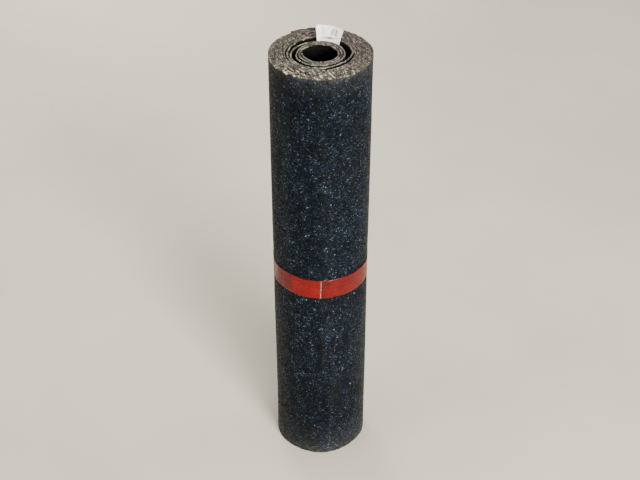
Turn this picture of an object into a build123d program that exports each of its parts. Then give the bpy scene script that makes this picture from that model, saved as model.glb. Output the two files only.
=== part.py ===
"""A roll of mineral-surfaced roofing felt, standing on its end.

Millimetres, +Z up. The origin is the centre of the outer turns at the floor, and +Y points to the back,
the side where the label slip stands.
"""
from build123d import *
from math import acos, cos, degrees, radians, sin
import os

# Felt sheet and how it is wound
sheet_width = 1000.0
sheet_thickness = 4.2
bore_diameter = 66.0
inner_turn_count = 4
outer_turn_count = 9

# Gaps between the loosened inner turns, even at the back and growing outwards at the front
tight_gap = 0.6
loose_gap_step = 1.4

# Wide gap between the inner and the outer turns, and how far the gaps reach into the ends
wide_gap_at_back = 14.5
gap_depth = 130.0

# Relief of the turns on the ends
groove_width = 1.2
groove_depth = 1.6
turn_unevenness = 2.0
turn_wave_angle = 138.0

# Free outer edge of the sheet, as an angle from +X seen from above, and how far it is pressed flat
lap_angle = 128.0
lap_flattening = 0.5

# Plastic band around the roll
band_height = 50.0
band_middle_height = 495.0
band_thickness = 0.4
band_clearance = 0.15

# Paper slip tucked into the wide gap, and how far it stands to the right of the back
slip_width = 47.5
slip_side_angle = 15.0
slip_thickness = 0.4
slip_stand_height = 29.5
slip_tuck_depth = 70.0
slip_lean = 18.0
slip_clearance = 0.25


def loosened_turns():
    """Radius inside and Y of the centre of each inner turn, from the bore outwards."""
    turns = [(bore_diameter / 2, 0.0)]
    for index in range(1, inner_turn_count):
        radius, centre_y = turns[-1]
        front_gap = tight_gap + index * loose_gap_step
        turns.append((
            radius + sheet_thickness + (tight_gap + front_gap) / 2,
            centre_y - (front_gap - tight_gap) / 2,
        ))
    return turns


def turn_drop(index):
    """How far the edge of one turn lies below the highest turn, in waves from turn to turn."""
    return turn_unevenness * (1 - cos(radians(turn_wave_angle * index))) / 2


# Radii that follow from the winding
bore_radius = bore_diameter / 2
inner_turns = loosened_turns()
inner_pack_y = inner_turns[-1][1]
inner_pack_radius = inner_turns[-1][0] + sheet_thickness
outer_pack_radius = inner_pack_radius + inner_pack_y + wide_gap_at_back
roll_radius = outer_pack_radius + outer_turn_count * sheet_thickness

# Outline of the roll seen from above
# Half of it is the full circle. The other half is a circle that meets it at the back of the lap and
# lies one step lower at the lap, which leaves the sheet's free edge.
lap_step = sheet_thickness - lap_flattening
lap_radius = roll_radius - lap_step / 2
lap_centre_x = -lap_step / 2
lap_plane = Plane.XY.rotated((0, 0, lap_angle))

with BuildSketch(lap_plane) as roll_outline:
    with BuildLine():
        ThreePointArc((-roll_radius, 0), (0, -roll_radius), (roll_radius, 0))
        Line((roll_radius, 0), (roll_radius - lap_step, 0))
        ThreePointArc(
            (roll_radius - lap_step, 0),
            (lap_centre_x, lap_radius),
            (-roll_radius, 0),
        )
    make_face()

# Outline that a tight band takes around the roll
# It runs straight from the edge of the step to the lower half, where it is tangent.
tangent_angle = degrees(acos(lap_radius / (roll_radius + lap_step / 2)))
middle_angle = (tangent_angle + 180) / 2
tangent_point = (
    lap_centre_x + lap_radius * cos(radians(tangent_angle)),
    lap_radius * sin(radians(tangent_angle)),
)
middle_point = (
    lap_centre_x + lap_radius * cos(radians(middle_angle)),
    lap_radius * sin(radians(middle_angle)),
)

with BuildSketch(lap_plane) as taut_outline:
    with BuildLine():
        ThreePointArc((-roll_radius, 0), (0, -roll_radius), (roll_radius, 0))
        Line((roll_radius, 0), tangent_point)
        ThreePointArc(tangent_point, middle_point, (-roll_radius, 0))
    make_face()

# Felt roll
# It is cut from a blank that is a little higher, and each cut runs a little past its turn.
blank_height = sheet_width + groove_depth
turn_margin = tight_gap / 3

with BuildPart() as felt_roll:
    with BuildSketch(Plane.XY):
        add(roll_outline.sketch)
        Circle(bore_radius, mode=Mode.SUBTRACT)
    extrude(amount=blank_height)

    # Gap outside each inner turn, open at both ends
    gap_walls = inner_turns[1:] + [(outer_pack_radius, 0)]
    for (turn_radius, turn_y), (wall_radius, wall_y) in zip(inner_turns, gap_walls):
        for gap_floor in (-gap_depth, sheet_width - gap_depth):
            with BuildSketch(Plane.XY.offset(gap_floor)):
                with Locations((0, wall_y)):
                    Circle(wall_radius)
                with Locations((0, turn_y)):
                    Circle(turn_radius + sheet_thickness, mode=Mode.SUBTRACT)
            extrude(amount=2 * gap_depth, mode=Mode.SUBTRACT)

    # Turns of uneven height on the top end
    outer_turns = [
        (outer_pack_radius + index * sheet_thickness, 0) for index in range(outer_turn_count)
    ]
    for index, (turn_radius, turn_y) in enumerate(inner_turns + outer_turns):
        with BuildSketch(Plane.XY.offset(sheet_width - turn_drop(index))):
            with Locations((0, turn_y)):
                Circle(turn_radius + sheet_thickness + turn_margin)
                Circle(turn_radius - turn_margin, mode=Mode.SUBTRACT)
        extrude(amount=blank_height, mode=Mode.SUBTRACT)

    # Grooves between the outer turns on both ends
    for index in range(1, outer_turn_count):
        groove_radius = outer_pack_radius + index * sheet_thickness
        below = [turn_drop(inner_turn_count + index - 1), turn_drop(inner_turn_count + index)]
        with BuildSketch(Plane.XZ):
            for end_height, inwards in ((0, 1), (sheet_width - max(below), -1)):
                with BuildLine():
                    Polyline(
                        (groove_radius - groove_width, end_height - inwards * groove_depth),
                        (groove_radius, end_height + inwards * groove_depth),
                        (groove_radius + groove_width, end_height - inwards * groove_depth),
                        close=True,
                    )
                make_face()
        revolve(axis=Axis.Z, mode=Mode.SUBTRACT)
felt_roll.part.label = "felt_roll"

# Plastic band
with BuildPart() as wrap_band:
    band_plane = lap_plane.offset(band_middle_height - band_height / 2)
    with BuildSketch(band_plane):
        offset(taut_outline.face(), amount=band_clearance + band_thickness)
        offset(taut_outline.face(), amount=band_clearance, mode=Mode.SUBTRACT)
    extrude(amount=band_height)
wrap_band.part.label = "wrap_band"

# Paper slip, curved with the inner turns, upright in the gap and leaning back above the end
slip_inside = inner_pack_radius + slip_clearance
slip_outside = slip_inside + slip_thickness
slip_angle = degrees(slip_width / slip_inside)
lean_run = slip_stand_height * sin(radians(slip_lean))
lean_rise = slip_stand_height * cos(radians(slip_lean))
slip_plane = Plane((0, inner_pack_y, 0), x_dir=(1, 0, 0), z_dir=(0, -1, 0))

with BuildPart() as label_slip:
    with BuildSketch(slip_plane.rotated((0, 0, 90 - slip_side_angle - slip_angle / 2))):
        with BuildLine():
            Polyline(
                (slip_inside, sheet_width - slip_tuck_depth),
                (slip_outside, sheet_width - slip_tuck_depth),
                (slip_outside, sheet_width),
                (slip_outside + lean_run, sheet_width + lean_rise),
                (slip_inside + lean_run, sheet_width + lean_rise),
                (slip_inside, sheet_width),
                close=True,
            )
        make_face()
    revolve(axis=Axis((0, inner_pack_y, 0), (0, 0, 1)), revolution_arc=slip_angle)
label_slip.part.label = "label_slip"

os.makedirs("parts", exist_ok=True)
export_step(felt_roll.part, "parts/felt_roll.step")
export_step(wrap_band.part, "parts/wrap_band.step")
export_step(label_slip.part, "parts/label_slip.step")
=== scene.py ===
"""A roll of mineral-surfaced roofing felt, standing on its end: its looks around the solids.

Metres, +Z up. The origin is the centre of the outer turns at the floor, and +Y points to the back,
the side where the label slip stands. Angles are in degrees from +X, seen from above.
"""
import math

import bpy
import numpy as np
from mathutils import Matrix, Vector


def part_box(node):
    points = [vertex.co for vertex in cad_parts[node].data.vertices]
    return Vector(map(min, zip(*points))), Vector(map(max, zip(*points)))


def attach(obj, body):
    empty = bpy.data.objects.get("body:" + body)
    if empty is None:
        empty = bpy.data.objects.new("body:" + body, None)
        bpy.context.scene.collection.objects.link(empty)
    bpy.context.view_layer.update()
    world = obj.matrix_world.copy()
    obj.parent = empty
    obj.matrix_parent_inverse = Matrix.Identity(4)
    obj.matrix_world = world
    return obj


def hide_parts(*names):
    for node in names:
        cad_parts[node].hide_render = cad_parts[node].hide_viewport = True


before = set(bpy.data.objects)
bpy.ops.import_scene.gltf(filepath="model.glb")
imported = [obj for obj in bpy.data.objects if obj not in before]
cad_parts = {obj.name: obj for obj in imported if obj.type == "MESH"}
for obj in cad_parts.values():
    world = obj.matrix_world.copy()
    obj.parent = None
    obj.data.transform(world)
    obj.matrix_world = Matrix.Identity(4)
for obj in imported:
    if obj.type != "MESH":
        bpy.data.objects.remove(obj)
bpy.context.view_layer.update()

MM = 0.001
rng = np.random.default_rng(4017)

# Sizes of the solids
_, roll_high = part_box("felt_roll")
band_low, band_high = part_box("wrap_band")
slip_low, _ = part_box("label_slip")
roll_radius = roll_high.x
roll_height = roll_high.z
band_middle = (band_low.z + band_high.z) / 2
band_height = band_high.z - band_low.z

# The sheet as it is wound. Places along it are angles too, counted outwards from its inner end.
sheet_thickness = 4.0 * MM
thickness_unevenness = 0.03
thickness_wavelength = 70.0
turn_pitch = 4.2 * MM
turn_count = 13
inner_end_angle = 188.0
lap_angle = 128.0
total_angle = turn_count * 360 + lap_angle - inner_end_angle
steps_per_turn = 720

# Where the sheet crosses the wide gap, and where the three stretches that are built meet
bridge_start = 1235.0
bridge_end = 1300.0
loose_end = 1680.0
outer_turn_start = total_angle - 374.0

# Radius inside the loosened turns in mm, at places along the sheet, one turn after another
loose_radii = (
    (0, 33.0), (17, 32.9), (40, 32.9), (56, 34.0), (70, 35.5), (84, 34.8), (110, 33.4), (172, 33.6),
    (215, 33.0), (262, 32.9), (300, 33.1), (326, 33.6), (345, 35.6),
    (360, 37.5), (377, 38.8), (417, 39.8), (442, 39.8), (490, 39.4), (532, 39.5), (580, 38.0),
    (622, 37.6), (670, 38.6), (700, 40.2), (714, 41.6),
    (726, 43.6), (740, 46.0), (780, 46.3), (802, 45.7), (850, 45.4), (892, 45.4), (940, 43.2),
    (982, 42.7), (1005, 43.4), (1030, 46.0), (1060, 51.0), (1078, 53.8),
    (1097, 55.5), (1130, 56.2), (1162, 55.6), (1195, 53.9), (1213, 53.8), (1229, 56.0), (1252, 59.6),
    (1300, 62.0),
)
loose_smoothing = 33

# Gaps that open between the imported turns: place along the sheet, half width and depth in mm
splits = (
    (1434.0, 34.0, 2.3),
    (1496.0, 30.0, 0.8),
)

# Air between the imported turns: everywhere, in patches and in a few cracks
least_air = 0.06 * MM
patchy_air = 0.2 * MM
patch_wavelength = 40.0
crack_depth = 1.2 * MM
crack_wavelength = 190.0
crack_threshold = 0.45
out_of_round_depth = 0.7 * MM

# How far the sheet's edges wander up and down, and the small chips out of them in mm
height_slack = 1.8 * MM
wander_wavelength = 260.0
chip_count = 240
chip_widths = (0.8, 4)
chip_depths = (0.3, 1.7)
deepest_chip = 2.5 * MM

# Section of the sheet's upper edge from its inner to its outer face: share across the sheet,
# height in mm and roughness in mm
edge_section = (
    (0.01, -1.00, 0.12),
    (0.07, -0.30, 0.24),
    (0.18, -0.06, 0.34),
    (0.34, -0.14, 0.36),
    (0.45, 0.22, 0.46),
    (0.56, 0.24, 0.46),
    (0.67, -0.14, 0.36),
    (0.82, -0.08, 0.36),
    (0.93, -0.26, 0.30),
    (0.99, -1.00, 0.14),
)
rough_spacing = 0.9 * MM
side_roughness = 0.13 * MM

# How far the faces end below and above the edges, and how much flatter the lower edge is
face_margin = 1.7 * MM
lower_roughness = 0.5
lower_rounding_loss = 0.15

# Swells of the outermost turn: height in mm, waves around, climb per metre of height, and phase.
# The turn is set in by their mean height, so that it stays inside the solid.
swells = (
    (0.30, 3, 5.1, 0.7),
    (0.22, 5, -8.3, 2.1),
    (0.16, 11, 13.0, 4.4),
    (0.10, 23, -31.0, 1.2),
    (0.08, 38, 47.0, 5.0),
)
mean_inset = 0.6
granule_relief = 0.12 * MM

# Pinch of the band and flare at both ends: depth or height in mm, and reach
pinch_depth = 0.5
pinch_reach = 0.06
top_flare_reach = 0.012
bottom_flare_reach = 0.016

# Wavering of the free outer edge: amount in degrees, climb per metre of height, and phase
edge_wavers = (
    (0.34, 7.0, 0.4),
    (0.16, 31.0, 0.0),
    (0.07, 143.0, 0.0),
)
edge_setback = 0.5
edge_waver_reach = 4.0

# How far the free outer edge springs off the roll, over what length of the sheet, and how far above
# and below the band it is held
lap_spring = 2.4 * MM
lap_spring_reach = 0.016
band_hold_reach = 0.13

# Spacing of the meshes, for the tape in degrees
inner_spacing = 1.1 * MM
packed_spacing = 1.25 * MM
outer_spacing = 2.2 * MM
outer_row_spacing = 3.6 * MM
tape_step = 1.0

# Rows on the two faces of the sheet, as shares of its width
seen_rows = [0.0, 0.006, 0.02, 0.05, 0.12, 0.3, 0.5, 0.7, 0.88, 0.95, 0.98, 0.994, 1.0]
hidden_rows = [0.0, 0.012, 0.5, 0.988, 1.0]
fine_row_count = round(roll_height / outer_row_spacing)
fine_rows = [k / fine_row_count for k in range(fine_row_count + 1)]

# Numbers of the felt's materials
granules_number, backing_number, cut_edge_number = range(3)

# Band of tape, whose outer end lies at the front over its inner one
tape_thickness = 0.35 * MM
tape_gap = 0.06 * MM
tape_clearance = 0.12 * MM
tape_overlap = 34.0
tape_end_angle = 276.0
tape_end_slant = 0.9
tape_narrowing = 2.4 * MM
tape_width_change = 0.5 * MM
tape_pucker = 0.16 * MM
tape_curl = 0.25 * MM

# Paper slip, curved with the loosened turns
slip_middle_angle = 75.0
slip_centre_y = -6.0 * MM
slip_foot_radius = 53.5 * MM
slip_width = 47.5 * MM
slip_tuck_depth = roll_height - slip_low.z - 2 * MM
slip_stand_height = 29.5 * MM
slip_fanning = 0.06
paper_thickness = 0.28 * MM

# Faded bars on the slip: place and half width as shares of its width, and darkness
slip_bars = (
    (-0.27, 0.010, 0.45),
    (-0.21, 0.014, 0.5),
    (-0.11, 0.012, 0.4),
    (0.09, 0.022, 1.0),
    (0.15, 0.012, 0.7),
    (0.25, 0.024, 1.0),
    (0.31, 0.012, 0.8),
)
outside_print = 0.15
# Share of the painted crease shade that shows on the slip's outer side
outside_crease_shade = 0.2

floor_reach = 40.0

# Camera, as it stood to this roll in the photograph
camera_place = (0.164, -2.109, 2.189)
camera_target = (0.0, 0.0, 0.548)
camera_lens = 71.0


# Smooth shapes and smooth randomness


def smooth_step(value):
    """A smooth rise from 0 to 1 while the value goes from 0 to 1."""
    value = np.clip(value, 0, 1)
    return value * value * (3 - 2 * value)


def bell(distance, width):
    """A smooth bump of height 1 around a distance of 0."""
    return np.exp(-((distance / width) ** 2))


def wave_noise(position, wavelength, strands=5):
    """Smooth noise from about -1 to 1 along a line, from a few random waves."""
    usual_peak = 1.6 * strands ** 0.5
    total = np.zeros_like(position)
    for _ in range(strands):
        frequency = 2 * np.pi / (wavelength * rng.uniform(0.6, 1.7))
        total += np.sin(position * frequency + rng.uniform(0, 2 * np.pi))
    return total / usual_peak


def ring_noise(angle, lowest, highest):
    """Smooth noise from about -1 to 1 around a ring, with a lowest to a highest number of waves."""
    total = np.zeros_like(angle)
    for order in range(lowest, highest + 1):
        phase = rng.uniform(0, 2 * np.pi)
        total += np.sin(order * np.radians(angle) + phase) / math.sqrt(order / lowest)
    return total / (highest - lowest + 1) ** 0.5


# Winding of the sheet


def loosened_radius(along):
    """Radius inside the sheet in the loosened turns, where it climbs over its own inner end."""
    places, radii = zip(*loose_radii)
    radius = np.interp(along, places, radii)
    weights = np.hanning(loose_smoothing)
    padded = np.pad(radius, loose_smoothing // 2, mode="edge")
    return np.convolve(padded, weights / weights.sum(), mode="valid") * MM


def packed_radius(along, angle, thickness):
    """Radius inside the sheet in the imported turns, from the outermost inwards."""
    # The outermost turn dips in where the roll is out of round
    out_of_round = np.minimum(out_of_round_depth * (ring_noise(angle, 2, 5) - 1.1), 0)

    crack = crack_depth * np.maximum(0, wave_noise(along, crack_wavelength) - crack_threshold)
    air = least_air + patchy_air * np.maximum(0, wave_noise(along, patch_wavelength)) + crack
    for place, width, depth in splits:
        air += depth * MM * bell(along - place, width)

    # Each turn lies against the one outside it
    radius = np.empty_like(along)
    last = slice(len(along) - steps_per_turn, len(along))
    spiral = roll_radius - turn_pitch * (total_angle - along[last]) / 360
    radius[last] = spiral + out_of_round[last] - thickness[last]
    for step in range(len(along) - steps_per_turn - 1, -1, -1):
        radius[step] = radius[step + steps_per_turn] - air[step] - thickness[step]
    return radius


def wind_sheet():
    """Place, angle, inner radius and outer radius of the sheet on an even grid along it."""
    along = np.linspace(0, total_angle, round(total_angle / 360 * steps_per_turn) + 1)
    angle = inner_end_angle + along
    thickness = sheet_thickness * (1 + thickness_unevenness * wave_noise(along, thickness_wavelength))
    from_inside = loosened_radius(along)
    from_outside = packed_radius(along, angle, thickness)
    crossing = smooth_step((along - bridge_start) / (bridge_end - bridge_start))
    inner_radius = (1 - crossing) * from_inside + crossing * from_outside
    return along, angle, inner_radius, inner_radius + thickness


def arc_lengths():
    """Length along the middle of the sheet at each point of the grid."""
    middle = (grid_inner + grid_outer) / 2
    x = middle * np.cos(np.radians(grid_angle))
    y = middle * np.sin(np.radians(grid_angle))
    steps = np.hypot(np.diff(x), np.diff(y))
    return np.concatenate([[0], np.cumsum(steps)])


def share_at(along):
    """Share of the sheet's length at a place along it."""
    return float(np.interp(along, grid_along, grid_length) / sheet_length)


grid_along, grid_angle, grid_inner, grid_outer = wind_sheet()
grid_length = arc_lengths()
sheet_length = float(grid_length[-1])


# Edges and outer face of the sheet


def chipped_edge():
    """Depth of the chips out of the sheet's edges at each point of the grid."""
    depth = np.zeros_like(grid_length)
    for _ in range(chip_count):
        place = rng.uniform(0, sheet_length)
        width = rng.uniform(*chip_widths) * MM
        depth += rng.uniform(*chip_depths) * MM * bell(grid_length - place, width)
    return np.minimum(depth, deepest_chip)


wander = 0.5 + 0.5 * np.clip(wave_noise(grid_along, wander_wavelength), -1, 1)
chip_depth = chipped_edge()
rough_length = np.arange(0, sheet_length + 10 * MM, rough_spacing)
rough_shape = (len(edge_section), len(rough_length))
rough_top = rng.uniform(-1, 0.6, rough_shape)
rough_bottom = rng.uniform(0, 1, rough_shape)
rough_side = rng.uniform(-1, 1, rough_shape)


def outer_swell(angle, height):
    """How far the outermost turn stands out of its smooth shape."""
    around = np.radians(angle)
    waves = sum(
        depth * np.sin(order * around + climb * height + phase) for depth, order, climb, phase in swells
    )
    pinch = pinch_depth * bell(height - band_middle, pinch_reach)
    near_top = np.exp(-(roll_height - height) / top_flare_reach)
    near_bottom = np.exp(-height / bottom_flare_reach)
    flare = (0.5 + 0.4 * np.sin(7 * around + 0.9)) * near_top
    flare += (0.6 + 0.5 * np.sin(5 * around + 2.9)) * near_bottom
    return (waves - pinch + flare - mean_inset) * MM


def free_edge_shift(angle, height):
    """How far the sheet's free outer edge wavers from a straight cut, in degrees."""
    from_edge = inner_end_angle + total_angle - angle
    wavering = sum(amount * np.sin(climb * height + phase) for amount, climb, phase in edge_wavers)
    return (wavering - edge_setback) * np.exp(-from_edge / edge_waver_reach)


def lap_lift(along, height):
    """How far the sheet's free outer edge springs off the roll, away from the band."""
    from_edge = np.radians(total_angle - along) * roll_radius
    freedom = 1 - bell(height - band_middle, band_hold_reach)
    return lap_spring * freedom * np.exp(-from_edge / lap_spring_reach)


# Mesh building


def make_object(name, points, faces, materials, face_materials=None):
    """A smooth mesh object from an array of points and index tuples."""
    mesh = bpy.data.meshes.new(name)
    mesh.from_pydata(points.tolist(), [], faces)
    for material in materials:
        mesh.materials.append(material)
    if face_materials is not None:
        mesh.polygons.foreach_set("material_index", face_materials)
    mesh.polygons.foreach_set("use_smooth", [True] * len(faces))
    mesh.update()
    obj = bpy.data.objects.new(name, mesh)
    bpy.context.scene.collection.objects.link(obj)
    return obj


def add_attribute(obj, name, values):
    """A number on each point of an object, for its material to read."""
    attribute = obj.data.attributes.new(name, "FLOAT", "POINT")
    attribute.data.foreach_set("value", np.asarray(values, dtype=np.float32).ravel())


def tube_faces(count, row_count):
    """Faces of a closed tube of sections with as many rows each, and of its two ends."""
    faces = []
    for here in range(0, (count - 1) * row_count, row_count):
        there = here + row_count
        for row in range(row_count):
            following = (row + 1) % row_count
            faces.append((here + row, here + following, there + following, there + row))
    faces.append(tuple(reversed(range(row_count))))
    faces.append(tuple(range((count - 1) * row_count, count * row_count)))
    return faces


def section_rows(length, inner_rows, outer_rows):
    """Rows around the sheet's section: up its inner face, over its edge and down its outer face.

    Each row has its share across the sheet and, at every station, its height and change of radius.
    """
    bottom = np.interp(length, grid_length, wander) * height_slack
    top = roll_height - height_slack + bottom
    chips = np.interp(length, grid_length, chip_depth)
    face_bottom = bottom + face_margin
    face_height = top - bottom - 2 * face_margin
    rows = []
    for share in inner_rows:
        rows.append((0.0, face_bottom + share * face_height - share * chips, 0))
    for row, (across, rise, rough) in enumerate(edge_section):
        ragged = rough * MM * np.interp(length, rough_length, rough_top[row])
        sideways = side_roughness * np.interp(length, rough_length, rough_side[row])
        rows.append((across, top + rise * MM + ragged - chips, sideways))
    for share in reversed(outer_rows):
        rows.append((1.0, face_bottom + share * face_height - share * chips, 0))

    # The lower edge, pressed flat by the floor
    for row, (across, rise, rough) in reversed(list(enumerate(edge_section))):
        ragged = lower_roughness * rough * MM * np.interp(length, rough_length, rough_bottom[row])
        rows.append((across, bottom + max(0, -rise - lower_rounding_loss) * MM + ragged, 0))
    return rows


def strip_points(length, rows, outer_face, is_outermost):
    """Points of a stretch of the sheet, by station and row. outer_face is the range of its outer rows."""
    along = np.interp(length, grid_length, grid_along)
    angle = inner_end_angle + along
    inside = np.interp(length, grid_length, grid_inner)
    outside = np.interp(length, grid_length, grid_outer)
    points = np.empty((len(length), len(rows), 3))
    for row, (across, height, sideways) in enumerate(rows):
        radius = inside + (outside - inside) * across + sideways
        turned = angle
        if is_outermost:
            radius = radius + outer_swell(angle, height) + lap_lift(along, height)
            turned = angle + free_edge_shift(angle, height)
            if row in outer_face:
                radius = radius + granule_relief * rng.uniform(-1, 1, len(length))
        points[:, row, 0] = radius * np.cos(np.radians(turned))
        points[:, row, 1] = radius * np.sin(np.radians(turned))
        points[:, row, 2] = height
    return points


def strip_materials(count, row_count, inner_face, outer_face):
    """Number of the material on each face of a stretch of the sheet."""
    around = [cut_edge_number] * row_count
    for row in inner_face[:-1]:
        around[row] = backing_number
    for row in outer_face[:-1]:
        around[row] = granules_number
    return around * (count - 1) + [cut_edge_number] * 2


def sheet_strip(name, start, end, spacing, inner_rows, outer_rows, materials):
    """A stretch of the wound sheet as one closed mesh, and the points of its outer face.

    start and end are places along the sheet. inner_rows and outer_rows are the heights of the rows on
    its two faces, as shares of the sheet's width from the bottom up.
    """
    first_length, last_length = np.interp([start, end], grid_along, grid_length)
    count = max(2, round((last_length - first_length) / spacing)) + 1
    length = np.linspace(first_length, last_length, count)
    first_outer = len(inner_rows) + len(edge_section)
    inner_face = range(len(inner_rows))
    outer_face = range(first_outer, first_outer + len(outer_rows))
    rows = section_rows(length, inner_rows, outer_rows)
    is_outermost = end == total_angle
    points = strip_points(length, rows, outer_face, is_outermost)
    face_materials = strip_materials(count, len(rows), inner_face, outer_face)
    faces = tube_faces(count, len(rows))

    obj = make_object(name, points.reshape(-1, 3), faces, materials, face_materials)
    obj.data.polygons.foreach_set("use_smooth", [number != cut_edge_number for number in face_materials])
    add_attribute(obj, "across", np.tile([across for across, _, _ in rows], count))
    add_attribute(obj, "along", np.repeat(length, len(rows)))
    return obj, points[:, first_outer:outer_face.stop]


# Node trees


class Tree:
    """The node tree of a new material, with short ways to add nodes.

    The scale of noise and cells is their number per metre. A place is a socket with coordinates.
    """

    def __init__(self, name):
        self.material = bpy.data.materials.new(name)
        self.material.use_nodes = True
        self.nodes = self.material.node_tree.nodes
        self.links = self.material.node_tree.links
        self.shader = self.nodes["Principled BSDF"]
        self.place = self.add("ShaderNodeTexCoord").outputs["Object"]

    def add(self, kind, **settings):
        node = self.nodes.new(kind)
        for key, value in settings.items():
            setattr(node, key, value)
        return node

    def plug(self, socket, value):
        """Link a socket, or set a number or colour."""
        if isinstance(value, bpy.types.NodeSocket):
            self.links.new(value, socket)
        else:
            socket.default_value = value

    def noise(self, scale, detail, roughness=0.55, place=None, distortion=0.0):
        """Cloudy noise around 0.5."""
        node = self.add("ShaderNodeTexNoise")
        self.links.new(place or self.place, node.inputs["Vector"])
        node.inputs["Scale"].default_value = scale
        node.inputs["Detail"].default_value = detail
        node.inputs["Roughness"].default_value = roughness
        node.inputs["Distortion"].default_value = distortion
        return node.outputs["Fac"]

    def cells(self, scale):
        """Random value of each cell, and distance from its middle."""
        node = self.add("ShaderNodeTexVoronoi")
        self.links.new(self.place, node.inputs["Vector"])
        node.inputs["Scale"].default_value = scale
        separate = self.add("ShaderNodeSeparateColor")
        self.links.new(node.outputs["Color"], separate.inputs["Color"])
        return separate.outputs["Red"], node.outputs["Distance"]

    def spots(self, scale, chosen, fading):
        """Round spots in some cells, from a ramp that chooses cells and one that fades outwards."""
        value, distance = self.cells(scale)
        return self.product(self.ramp(value, chosen), self.ramp(distance, fading))

    def stretch(self, x, y, z, place=None):
        """Coordinates multiplied along each axis. A factor below 1 draws a pattern out."""
        node = self.add("ShaderNodeMapping")
        self.links.new(place or self.place, node.inputs["Vector"])
        node.inputs["Scale"].default_value = (x, y, z)
        return node.outputs["Vector"]

    def ramp(self, factor, stops, smooth=False):
        """A ramp of values or colours. stops are (position, grey or colour) pairs."""
        node = self.add("ShaderNodeValToRGB")
        self.links.new(factor, node.inputs["Fac"])
        node.color_ramp.interpolation = "EASE" if smooth else "LINEAR"
        elements = node.color_ramp.elements
        while len(elements) < len(stops):
            elements.new(0.5)
        for element, (position, value) in zip(elements, stops):
            element.position = position
            element.color = (*value, 1) if isinstance(value, tuple) else (value, value, value, 1)
        return node.outputs["Color"]

    def math(self, operation, first, second):
        node = self.add("ShaderNodeMath", operation=operation)
        self.plug(node.inputs[0], first)
        self.plug(node.inputs[1], second)
        return node.outputs["Value"]

    def product(self, first, second):
        return self.math("MULTIPLY", first, second)

    def mix(self, factor, first, second, blend="MIX"):
        """The first colour where the factor is 0 and the second, or their blend, where it is 1."""
        node = self.add("ShaderNodeMix", data_type="RGBA", blend_type=blend)
        self.plug(node.inputs["Factor"], factor)
        for name, value in (("A_Color", first), ("B_Color", second)):
            socket = next(s for s in node.inputs if s.identifier == name)
            self.plug(socket, (*value, 1) if isinstance(value, tuple) else value)
        return next(s for s in node.outputs if s.identifier == "Result_Color")

    def times(self, colour, *others):
        """A colour multiplied by others, one after another."""
        for other in others:
            colour = self.mix(1.0, colour, other, "MULTIPLY")
        return colour

    def bump(self, height, distance, strength, normal=None):
        """A normal that follows a height, on top of another normal where one is given."""
        node = self.add("ShaderNodeBump")
        self.links.new(height, node.inputs["Height"])
        node.inputs["Distance"].default_value = distance
        node.inputs["Strength"].default_value = strength
        if normal is not None:
            self.links.new(normal, node.inputs["Normal"])
        return node.outputs["Normal"]

    def attribute(self, name):
        return self.add("ShaderNodeAttribute", attribute_name=name).outputs["Fac"]

    def axis(self, letter):
        node = self.add("ShaderNodeSeparateXYZ")
        self.links.new(self.place, node.inputs["Vector"])
        return node.outputs[letter]

    def below_top(self):
        """Depth below the roll's upper end."""
        return self.math("SUBTRACT", float(roll_height), self.axis("Z"))

    def share_along(self):
        """Share of the sheet's length."""
        return self.math("DIVIDE", self.attribute("along"), sheet_length)

    def sheet_place(self):
        """Coordinates that run along and across the sheet, so that neighbouring turns differ."""
        node = self.add("ShaderNodeCombineXYZ")
        self.links.new(self.attribute("along"), node.inputs["X"])
        self.links.new(self.product(self.attribute("across"), sheet_thickness), node.inputs["Y"])
        self.links.new(self.axis("Z"), node.inputs["Z"])
        return node.outputs["Vector"]

    def finish(self, colour, roughness, normal, specular=0.5):
        """The material, with its colour, roughness and relief in place."""
        self.links.new(colour, self.shader.inputs["Base Color"])
        self.plug(self.shader.inputs["Roughness"], roughness)
        self.links.new(normal, self.shader.inputs["Normal"])
        self.shader.inputs["Specular IOR Level"].default_value = specular
        return self.material


# Felt


def face_dust(tree):
    """Dust that gathers near both ends and in faint upright streaks."""
    low = tree.ramp(tree.axis("Z"), [(0.0, 0.5), (0.03, 0.18), (0.10, 0.0)])
    high = tree.ramp(tree.below_top(), [(0.0, 0.5), (0.012, 0.15), (0.05, 0.0)])
    streak = tree.ramp(tree.noise(26, 4, 0.6, tree.stretch(1, 1, 0.06)), [(0.54, 0.0), (0.80, 0.12)])
    dust = tree.math("MAXIMUM", tree.math("MAXIMUM", low, high), streak)
    patches = tree.ramp(tree.noise(130, 5, 0.7), [(0.35, 0.1), (0.68, 1.0)])
    return tree.product(dust, patches)


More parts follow.
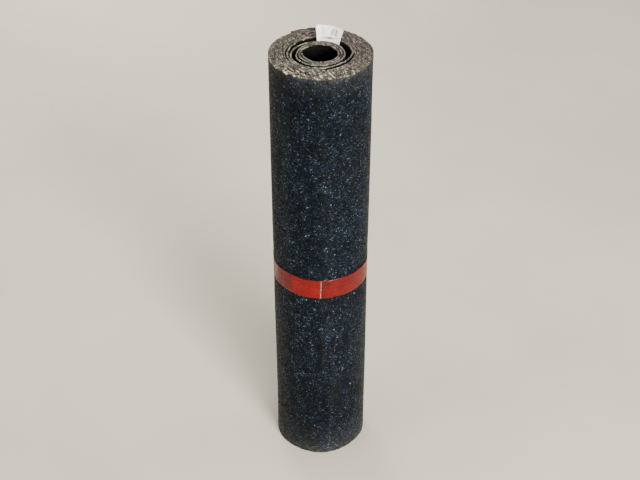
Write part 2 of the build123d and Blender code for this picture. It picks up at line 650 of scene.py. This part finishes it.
def granule_material():
    """The mineral face: dark slate granules pressed into bitumen."""
    tree = Tree("felt_granules")
    dust_colour = (0.17, 0.16, 0.14)
    grain, from_grain = tree.cells(620)
    cluster, _ = tree.cells(230)
    slate = tree.ramp(grain, [
        (0.0, (0.0013, 0.0022, 0.0038)),
        (0.5, (0.0032, 0.0068, 0.0122)),
        (0.82, (0.0072, 0.0138, 0.0226)),
        (0.95, (0.026, 0.036, 0.049)),
        (1.0, (0.105, 0.122, 0.140)),
    ])
    speckle = tree.ramp(cluster, [(0.0, 0.5), (0.6, 0.9), (0.86, 1.4), (1.0, 2.6)])
    shade = tree.ramp(tree.noise(9, 4, 0.6), [(0.30, 0.68), (0.52, 1.0), (0.72, 1.4)])
    drifts = tree.ramp(tree.noise(58, 4, 0.65, tree.stretch(1, 1, 0.55)), [(0.34, 0.55), (0.66, 1.6)])
    colour = tree.mix(face_dust(tree), tree.times(slate, speckle, shade, drifts), dust_colour)

    # Only the last tenth of the sheet faces out of the roll. The rest shows in the gaps and is darkened
    # there with painted shade.
    colour = tree.times(colour, tree.ramp(tree.share_along(), [(0.885, 0.38), (0.895, 1.0)]))

    normal = tree.bump(tree.math("SUBTRACT", 1.0, from_grain), 0.7 * MM, 0.6)
    normal = tree.bump(cluster, 0.6 * MM, 0.35, normal)
    normal = tree.bump(tree.noise(34, 3, 0.5), 1.6 * MM, 0.4, normal)
    rough = tree.ramp(grain, [(0.0, 0.70), (0.7, 0.52), (1.0, 0.28)])
    return tree.finish(colour, rough, normal, specular=0.15)


def edge_layers(tree, sheet):
    """Colour of the cut through the sheet: bitumen around a pale carrier, dusted in patches."""
    layers = tree.ramp(tree.attribute("across"), [
        (0.0, (0.040, 0.034, 0.028)),
        (0.14, (0.034, 0.030, 0.026)),
        (0.38, (0.060, 0.053, 0.044)),
        (0.50, (0.250, 0.226, 0.186)),
        (0.60, (0.064, 0.057, 0.048)),
        (0.84, (0.026, 0.025, 0.024)),
        (1.0, (0.030, 0.030, 0.032)),
    ])
    pale_dust = (0.200, 0.183, 0.152)
    greenish = (0.98, 1.02, 0.86)
    reddish = (1.07, 0.96, 0.98)
    greyer = (1.42, 1.48, 1.54)
    dusted = tree.ramp(tree.noise(150, 5, 0.7, sheet), [(0.40, 0.0), (0.60, 0.9)])
    patch = tree.ramp(tree.noise(42, 4, 0.6, sheet), [(0.32, 0.26), (0.52, 0.66), (0.70, 1.55)])
    zone = tree.ramp(tree.noise(9, 2), [(0.42, 0.0), (0.58, 1.0)])
    colour = tree.mix(dusted, layers, pale_dust)
    colour = tree.times(colour, patch, tree.mix(zone, greenish, reddish))

    # The loosened turns and the turn that crosses the wide gap are paler and greyer
    paler = tree.ramp(tree.share_along(), [
        (share_at(bridge_end + 160), 1.0),
        (share_at(bridge_end + 300), 0.0),
    ])
    return tree.mix(paler, colour, tree.times(colour, greyer))


def edge_scratches(tree):
    """Scratches that run aslant over several turns, most of them at the front."""
    aslant = tree.add("ShaderNodeMapping", vector_type="TEXTURE")
    tree.links.new(tree.place, aslant.inputs["Vector"])
    aslant.inputs["Rotation"].default_value = (0, 0, math.radians(34))
    aslant.inputs["Scale"].default_value = (0.62, 1.75, 1.0)
    scratch = tree.noise(125, 3, 0.6, aslant.outputs["Vector"], distortion=0.35)
    towards_front = tree.product(tree.axis("Y"), -10.0)
    towards_front = tree.ramp(towards_front, [(0.0, 0.12), (0.45, 0.3), (0.75, 1.0)])
    return tree.product(tree.ramp(scratch, [(0.52, 0.0), (0.61, 0.95)]), towards_front)


def edge_material():
    """The cut edge: layers of the sheet, scratched, frayed, pitted and gritty, with painted glints and
    painted shade in its pits and holes.
    """
    tree = Tree("felt_cut_edge")
    pale_scratch = (0.52, 0.47, 0.385)
    pale_fibre = (0.43, 0.40, 0.33)
    painted_glint_colour = (0.50, 0.48, 0.43)
    painted_pit_shade = (0.008, 0.007, 0.007)
    painted_hole_shade = (0.009, 0.008, 0.008)

    # Pale marks on the layers, and painted glints
    sheet = tree.sheet_place()
    colour = tree.mix(edge_scratches(tree), edge_layers(tree, sheet), pale_scratch)
    fibre = tree.noise(320, 4, 0.7, tree.stretch(1.0, 0.45, 0.4, sheet), distortion=0.6)
    colour = tree.mix(tree.ramp(fibre, [(0.60, 0.0), (0.70, 0.7)]), colour, pale_fibre)
    # Painted glints: pale spots that stand in for sparkle of light on the cut edge
    painted_glint = tree.spots(330, [(0.93, 0.0), (0.95, 0.85)], [(0.25, 1.0), (0.5, 0.0)])
    colour = tree.mix(painted_glint, colour, painted_glint_colour)

    # Small pits everywhere, darkened with painted shade, grit, and some round holes as wide as a turn,
    # painted as dark spots of shade
    pit = tree.noise(190, 3, 0.6, sheet)
    colour = tree.mix(tree.ramp(pit, [(0.30, 0.95), (0.42, 0.0)]), colour, painted_pit_shade)
    grit, from_grit = tree.cells(1150)
    colour = tree.times(colour, tree.ramp(grit, [(0.0, 0.50), (0.7, 1.05), (1.0, 2.1)]))
    # Painted shade of round holes, which the mesh does not have
    painted_hole_mask = tree.spots(150, [(0.17, 0.9), (0.18, 0.0)], [(0.22, 1.0), (0.36, 0.0)])
    colour = tree.mix(painted_hole_mask, colour, painted_hole_shade)

    normal = tree.bump(tree.noise(420, 5, 0.7), 0.9 * MM, 0.8)
    normal = tree.bump(pit, 1.6 * MM, 0.6, normal)
    normal = tree.bump(tree.math("SUBTRACT", 1.0, from_grit), 0.5 * MM, 0.6, normal)
    rough = tree.ramp(fibre, [(0.55, 0.62), (0.72, 0.38)])
    return tree.finish(colour, rough, normal, specular=0.4)


def backing_material():
    """The back of the sheet: dark bitumen under a thin film, dusted with talc, and lighter along the upper
    end with painted light.
    """
    tree = Tree("felt_backing")
    talc_colour = (0.034, 0.026, 0.022)
    painted_rim_light_colour = (0.062, 0.046, 0.038)
    grain, _ = tree.cells(500)
    base = tree.ramp(grain, [(0.0, (0.005, 0.004, 0.004)), (1.0, (0.016, 0.014, 0.014))])

    # The first 0.2 m of the sheet line the bore and stay dark
    beyond_bore = tree.ramp(tree.attribute("along"), [(0.2, 0.0), (0.24, 1.0)])
    talc = tree.ramp(tree.noise(45, 5, 0.65), [(0.46, 0.0), (0.78, 0.35)])
    colour = tree.mix(tree.product(talc, beyond_bore), base, talc_colour)
    # Painted light along the upper end, as where the wall catches light from above, in patches
    rim = tree.ramp(tree.below_top(), [(0.0, 0.8), (0.004, 0.45), (0.015, 0.0)], smooth=True)
    rim_light_patches = tree.ramp(tree.noise(70, 4, 0.65, tree.stretch(1, 1, 0.5)), [(0.3, 0.35), (0.62, 1.0)])
    colour = tree.mix(tree.product(tree.product(rim, rim_light_patches), beyond_bore), colour, painted_rim_light_colour)

    normal = tree.bump(tree.noise(90, 4, 0.6), 1.0 * MM, 0.5)
    rough = tree.ramp(tree.noise(30, 3), [(0.3, 0.42), (0.7, 0.62)])
    return tree.finish(colour, rough, normal, specular=0.18)


felt_materials = [granule_material(), backing_material(), edge_material()]
inner_turns, _ = sheet_strip(
    "felt_inner_turns", 0.0, loose_end, inner_spacing, seen_rows, seen_rows, felt_materials
)
packed_turns, _ = sheet_strip(
    "felt_packed_turns", loose_end, outer_turn_start, packed_spacing, hidden_rows, hidden_rows,
    felt_materials,
)
outer_turn, side_points = sheet_strip(
    "felt_outer_turn", outer_turn_start, total_angle, outer_spacing, hidden_rows, fine_rows, felt_materials
)
for piece in (inner_turns, packed_turns, outer_turn):
    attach(piece, "root")
    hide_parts("felt_roll")


# Band


def band_material():
    """Red polypropylene tape, glossy, scuffed and a little dusty, pale where its end is cut."""
    tree = Tree("band_tape")
    scuff_colour = (0.27, 0.065, 0.055)
    smudge_and_shade_colour = (0.050, 0.012, 0.012)
    cut_colour = (0.62, 0.40, 0.36)
    shade = tree.ramp(tree.noise(16, 4, 0.6), [(0.3, (0.105, 0.004, 0.004)), (0.7, (0.175, 0.007, 0.006))])
    colour = tree.mix(tree.attribute("doubled"), shade, tree.times(shade, (1.45, 1.5, 1.4)))
    drawn = tree.ramp(tree.noise(120, 3, 0.6, tree.stretch(0.12, 0.12, 1.6)), [(0.3, 0.78), (0.7, 1.18)])
    colour = tree.times(colour, drawn)
    scuff = tree.ramp(tree.noise(75, 5, 0.72, tree.stretch(0.5, 0.5, 1.4)), [(0.57, 0.0), (0.72, 0.5)])
    colour = tree.mix(scuff, colour, scuff_colour)
    # Dark smudges of dirt on the tape
    smudge_and_shade = tree.ramp(tree.noise(34, 4, 0.6), [(0.56, 0.0), (0.70, 0.7)])
    colour = tree.mix(smudge_and_shade, colour, smudge_and_shade_colour)
    uneven = tree.ramp(tree.noise(160, 4, 0.6), [(0.36, 0.25), (0.58, 1.0)])
    colour = tree.mix(tree.product(tree.attribute("cut"), uneven), colour, cut_colour)
    normal = tree.bump(tree.noise(14, 3, 0.5, tree.stretch(0.5, 0.5, 2.2)), 1.6 * MM, 0.5)
    normal = tree.bump(tree.noise(300, 3, 0.6, tree.stretch(0.2, 0.2, 1.5)), 0.2 * MM, 0.5, normal)
    rough = tree.ramp(tree.noise(60, 5, 0.7), [(0.35, 0.20), (0.7, 0.44)])
    return tree.finish(colour, rough, normal, specular=0.4)


def convex_hull(points):
    """The convex hull of points in the plane, counter-clockwise."""
    ordered = sorted(map(tuple, points))

    def half(sequence):
        chain = []
        for x, y in sequence:
            while len(chain) > 1:
                (ax, ay), (bx, by) = chain[-2:]
                if (bx - ax) * (y - ay) - (by - ay) * (x - ax) > 0:
                    break
                chain.pop()
            chain.append((x, y))
        return chain[:-1]

    return np.array(half(ordered) + half(reversed(ordered)))


def taut_radius():
    """Angle and radius of a tight loop around the felt at the band's height."""
    margin = 3 * MM
    points_per_side = 12
    heights = side_points[:, :, 2]
    near_band = (heights > band_low.z - margin) & (heights < band_high.z + margin)
    hull = convex_hull(side_points[near_band][:, :2])
    loop = np.vstack([hull, hull[:1]])
    sides = [
        np.linspace(start, end, points_per_side, endpoint=False) for start, end in zip(loop[:-1], loop[1:])
    ]
    x, y = np.vstack(sides).T
    angle = np.degrees(np.arctan2(y, x)) % 360
    order = np.argsort(angle)
    return angle[order], np.hypot(x, y)[order]


def make_band():
    """The tape as one closed mesh, drawn tight around the felt, with puckers and curled edges."""
    turn = np.arange(0, 360 + tape_overlap + tape_step / 2, tape_step)
    from_end = turn - turn[-1]
    angle = tape_end_angle - tape_overlap + turn
    doubled = smooth_step((turn - 355) / 5)
    loop_angle, loop_radius = taut_radius()
    radius = np.interp(angle % 360, loop_angle, loop_radius, period=360) + tape_clearance
    radius = radius + doubled * (tape_thickness + tape_gap)

    # How it wanders up and down, changes in width, puckers in the middle and curls at its edges
    drift = 0.7 * MM * np.sin(np.radians(angle * 2 + 40)) + 0.4 * MM * np.sin(np.radians(angle * 5))
    width = band_height - tape_narrowing + tape_width_change * wave_noise(turn, 70)
    pucker = tape_pucker * wave_noise(turn, 9)
    curl = tape_curl * (1 + np.clip(wave_noise(turn, 40), -1, 1))

    # Up the inner side of the tape and down the outer one
    across = np.linspace(-0.5, 0.5, 17)
    sides = [(share, 0) for share in across] + [(share, tape_thickness) for share in across[::-1]]
    rows = []
    for share, thickness in sides:
        swell = curl * np.abs(share * 2) ** 6 + pucker * (0.5 - np.abs(share))
        swell = swell + 0.1 * MM * np.sin(share * 9 + turn * 0.21)
        out = radius + np.maximum(swell, -0.05 * MM) + thickness
        slant = tape_end_slant * share * smooth_step((from_end + 12) / 12)
        around = np.radians(angle + slant)
        height = band_middle + drift + share * width
        rows.append(np.stack([out * np.cos(around), out * np.sin(around), height], axis=1))
    points = np.stack(rows, axis=1).reshape(-1, 3)

    obj = make_object("band_tape", points, tube_faces(len(turn), len(rows)), [band_material()])
    add_attribute(obj, "cut", np.repeat(0.85 * bell(from_end, 0.7), len(rows)))
    add_attribute(obj, "doubled", np.repeat(doubled, len(rows)))
    return obj


band = make_band()
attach(band, "root")
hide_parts("wrap_band")


# Paper slip


def paper_material():
    """White label paper, creased and a little grey, with painted shade along the crease and a few faded
    bars that say nothing.
    """
    tree = Tree("slip_paper")
    ink_colour = (0.20, 0.195, 0.185)
    dirt_colour = (0.45, 0.42, 0.36)
    smudge_and_shade_colour = (0.10, 0.097, 0.088)
    shade = tree.ramp(tree.noise(40, 4, 0.6), [(0.3, (0.90, 0.885, 0.845)), (0.7, (0.95, 0.94, 0.905))])
    faded = tree.ramp(tree.noise(70, 2, 0.5), [(0.3, 0.6), (0.7, 1.0)])
    colour = tree.mix(tree.product(tree.attribute("ink"), faded), shade, ink_colour)
    dirt = tree.ramp(tree.noise(90, 5, 0.7), [(0.55, 0.0), (0.75, 0.4)])
    colour = tree.mix(dirt, colour, dirt_colour)
    # Painted shade along the crease, in blotches
    blotch = tree.ramp(tree.noise(80, 2, 0.5), [(0.34, 0.35), (0.6, 1.0)])
    colour = tree.mix(tree.product(tree.attribute("smudge_and_shade"), blotch), colour, smudge_and_shade_colour)
    normal = tree.bump(tree.noise(900, 3, 0.6), 0.1 * MM, 0.4)
    normal = tree.bump(tree.noise(55, 4, 0.6), 1.2 * MM, 0.35, normal)
    return tree.finish(colour, 0.62, normal)


def slip_heights(across, up):
    """Height of each point of the slip along the paper, under a free edge of two humps and a notch."""
    notch = 0.055 * bell(across - 0.02, 0.05)
    corners = 0.10 * bell(across + 0.5, 0.045) + 0.05 * bell(across - 0.5, 0.06)
    top_shape = 1.0 - notch - corners - 0.03 * np.maximum(0, across)
    return np.where(up > 0, up * top_shape, up)


def slip_points(across, height, share_up):
    """Points of the slip's inner side and then its outer side."""
    above = height > 0
    lean = np.radians(14 + 5 * share_up)
    lean_run = np.where(above, height * np.sin(lean), 0)
    lean_rise = np.where(above, height * np.cos(lean), height)

    # Ripples that grow towards the free edge, and a crease that runs aslant above the foot
    ripple = 0.9 * MM * share_up * np.sin(2 * np.pi * (across * 1.9 + 0.12))
    ripple += 0.5 * MM * share_up * np.sin(2 * np.pi * (across * 4.3 + 0.4 + share_up * 0.3))
    crease = -1.0 * MM * bell(height / MM - 7.0 - 9 * across, 1.3) * above
    radius = slip_foot_radius + lean_run + ripple + crease
    turn = np.degrees(across * slip_width * (1 + slip_fanning * share_up) / slip_foot_radius)
    around = np.radians(slip_middle_angle - turn)
    sides = []
    for offset in (0.0, paper_thickness):
        x = (radius + offset) * np.cos(around)
        y = (radius + offset) * np.sin(around) + slip_centre_y
        sides.append(np.stack([x, y, roll_height + lean_rise], axis=-1).reshape(-1, 3))
    return np.concatenate(sides)


def slip_faces(columns, rows):
    """Faces of the slip's two sides and of its rim."""
    size = columns * rows
    faces = []
    for column in range(columns - 1):
        for row in range(rows - 1):
            a = column * rows + row
            faces.append((a, a + rows, a + rows + 1, a + 1))
            faces.append((size + a, size + a + 1, size + a + rows + 1, size + a + rows))
    rim = [column * rows for column in range(columns)]
    rim += [(columns - 1) * rows + row for row in range(1, rows)]
    rim += [column * rows + rows - 1 for column in range(columns - 2, -1, -1)]
    rim += list(range(rows - 2, 0, -1))
    for a, b in zip(rim, rim[1:] + rim[:1]):
        faces.append((b, a, size + a, size + b))
    return faces


def slip_ink(across, share_up):
    """Darkness of the faded bars, which lean a little and end below the free edge."""
    ink = np.zeros_like(across)
    for place, half_width, darkness in slip_bars:
        bar = bell(across - place - 0.05 * (share_up - 0.6), half_width * 1.5)
        ink = np.maximum(ink, darkness * bar)
    return ink * smooth_step((share_up - 0.36) / 0.08) * smooth_step((0.86 - share_up) / 0.08)


def slip_crease_shade(across, height):
    """Darkness of the painted shade along the crease."""
    ends = smooth_step((across + 0.40) / 0.15) * smooth_step((0.27 - across) / 0.12)
    return bell(height / MM - 5.8 - 4 * across, 2.6) * ends


def make_slip():
    """The slip as a curved sheet of paper, upright in the gap and leaning back above the end."""
    columns = np.linspace(-0.5, 0.5, 57)
    tucked = np.linspace(-slip_tuck_depth, -4 * MM, 18)
    standing = np.linspace(-3 * MM, slip_stand_height, 46)
    across, up = np.meshgrid(columns, np.concatenate([tucked, standing]), indexing="ij")
    share_up = np.clip(up / slip_stand_height, 0, 1)
    height = slip_heights(across, up)
    points = slip_points(across, height, share_up)
    obj = make_object("paper_slip", points, slip_faces(*across.shape), [paper_material()])
    ink = slip_ink(across, share_up)
    # Painted shade along the crease, on both sides of the paper
    smudge_and_shade = slip_crease_shade(across, height)
    add_attribute(obj, "ink", np.stack([ink, outside_print * ink]))
    add_attribute(obj, "smudge_and_shade", np.stack([smudge_and_shade, outside_crease_shade * smudge_and_shade]))
    return obj


slip = make_slip()
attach(slip, "root")
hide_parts("label_slip")


# Floor


def floor_material():
    """A plain pale floor with a faint shade and grain."""
    tree = Tree("floor")
    shade = tree.ramp(tree.noise(1.3, 4, 0.6), [(0.3, (0.49, 0.455, 0.385)), (0.7, (0.55, 0.515, 0.44))])
    normal = tree.bump(tree.noise(60, 4, 0.6), 0.6 * MM, 0.3)
    return tree.finish(shade, 0.75, normal)


corners = floor_reach * np.array([(-1, -1, 0), (1, -1, 0), (1, 1, 0), (-1, 1, 0)])
floor = make_object("floor", corners, [(0, 1, 2, 3)], [floor_material()])


# Light


def area_light(name, place, aim_height, size, watts, colour):
    """A soft rectangular light, aimed at a height on the roll's axis."""
    data = bpy.data.lights.new(name, "AREA")
    data.shape = "RECTANGLE"
    data.size, data.size_y = size
    data.energy = watts
    data.color = colour
    light = bpy.data.objects.new(name, data)
    light.location = place
    direction = light.location - Vector((0, 0, aim_height))
    light.rotation_euler = direction.to_track_quat("Z", "Y").to_euler()
    bpy.context.scene.collection.objects.link(light)


def sunlight(strength, angle, tilt, colour):
    """Daylight from above. angle is how wide its source looks, and tilt turns it about X and Y."""
    data = bpy.data.lights.new("daylight", "SUN")
    data.energy = strength
    data.angle = math.radians(angle)
    data.color = colour
    light = bpy.data.objects.new("daylight", data)
    light.rotation_euler = (math.radians(tilt[0]), math.radians(tilt[1]), 0)
    bpy.context.scene.collection.objects.link(light)


def surroundings(colour, strength):
    """Even light from all around."""
    world = bpy.data.worlds.new("world")
    world.use_nodes = True
    background = world.node_tree.nodes["Background"]
    background.inputs["Color"].default_value = (*colour, 1)
    background.inputs["Strength"].default_value = strength
    bpy.context.scene.world = world


warm_white = (1.0, 0.985, 0.96)
area_light(
    "key", place=(1.7, -2.8, 1.8), aim_height=0.6, size=(1.1, 1.5), watts=165, colour=warm_white
)
area_light(
    "ceiling", place=(-0.5, 0.9, 3.9), aim_height=0.6, size=(2.6, 2.6), watts=55,
    colour=(1.0, 0.98, 0.95),
)
area_light(
    "left_fill", place=(-2.4, -1.2, 1.6), aim_height=0.55, size=(0.8, 1.6), watts=12,
    colour=(0.96, 0.98, 1.0),
)
area_light(
    "back_fill", place=(-1.3, 3.0, 1.7), aim_height=0.55, size=(1.4, 1.8), watts=50, colour=warm_white
)
area_light(
    "back_side_fill", place=(2.8, 1.4, 1.5), aim_height=0.55, size=(1.0, 1.6), watts=16,
    colour=(0.97, 0.985, 1.0),
)
sunlight(strength=1.45, angle=26, tilt=(30, 16), colour=warm_white)
surroundings(colour=(1.0, 0.955, 0.87), strength=0.35)


# Camera


def make_camera():
    """The scene's camera, aimed at a point of the roll's axis."""
    data = bpy.data.cameras.new("camera")
    data.lens = camera_lens
    camera = bpy.data.objects.new("camera", data)
    camera.location = camera_place
    direction = camera.location - Vector(camera_target)
    camera.rotation_euler = direction.to_track_quat("Z", "Y").to_euler()
    bpy.context.scene.collection.objects.link(camera)
    return camera


bpy.context.scene.camera = make_camera()

# Contrast of an ordinary photograph
bpy.context.scene.view_settings.look = "AgX - Medium High Contrast"
